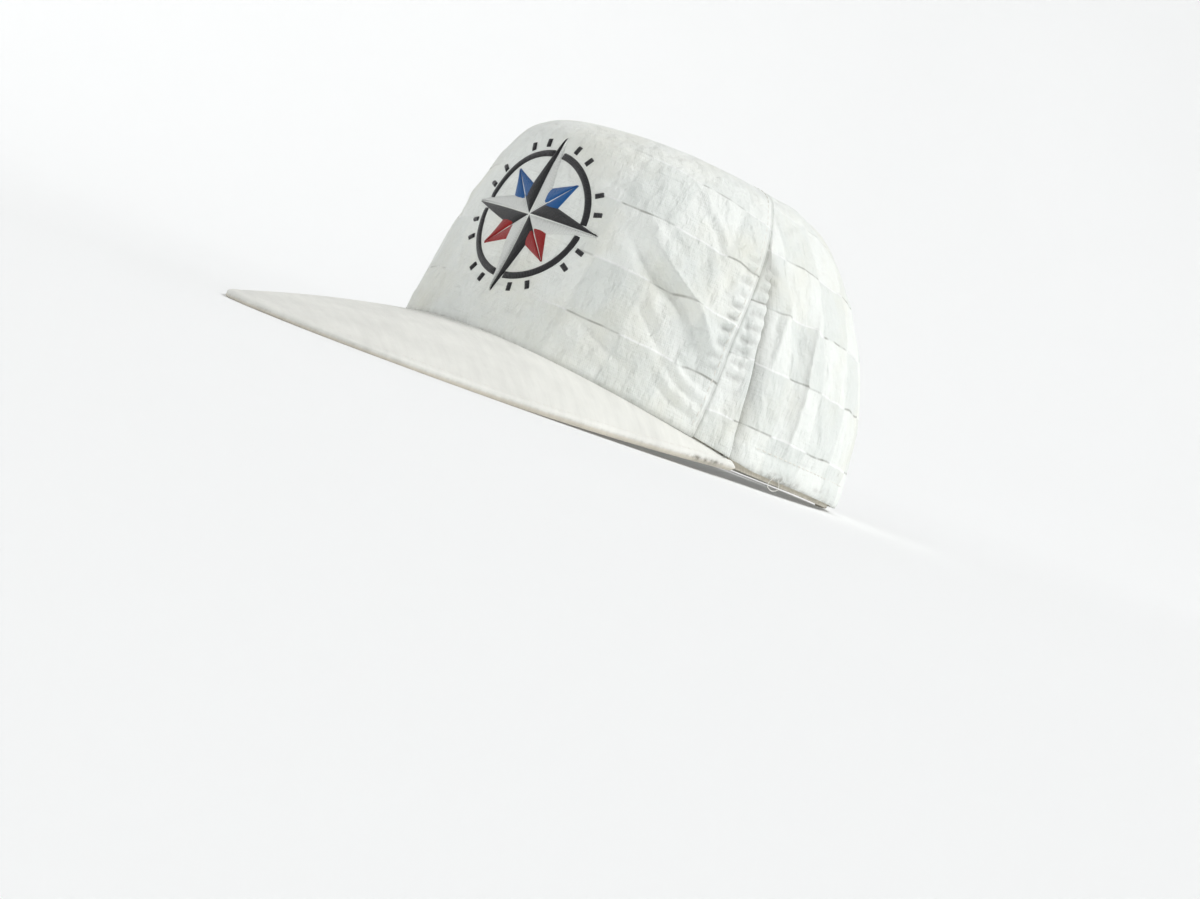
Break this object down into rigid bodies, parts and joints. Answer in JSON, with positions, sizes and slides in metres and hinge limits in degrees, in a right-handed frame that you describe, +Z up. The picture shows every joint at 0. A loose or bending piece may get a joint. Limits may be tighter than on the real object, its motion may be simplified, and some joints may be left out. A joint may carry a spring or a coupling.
{
  "type": "snapback cap",
  "caption": "Tall-crowned white cotton cap with a stiff flat brim, a sweatband and a plastic snap strap across an arched opening at the back.",
  "frame": {"origin": "on the surface that the cap rests on, under the middle of its bounding box", "axes": "+Z up, -Y towards the brim's tip, +X towards the wearer's left; the cap stands on its brim edge and rear rim"},
  "size_m": [0.1626, 0.2758, 0.1043],
  "materials": {
    "white_cotton": "checked damask cotton, matte with a faint sheen in the satin squares",
    "brim_cotton": "plain cotton over a stiffener, slightly aged",
    "sweatband_cotton": "cotton twill, aged",
    "strap_plastic": "moulded soft plastic, satin"
  },
  "bodies": {
    "root": {"front_panel": "white_cotton", "side_panel_left": "white_cotton", "side_panel_right": "white_cotton", "brim": "brim_cotton", "sweatband": "sweatband_cotton", "strap_with_holes": "strap_plastic", "strap_with_pegs": "strap_plastic"}
  },
  "joints": []
}
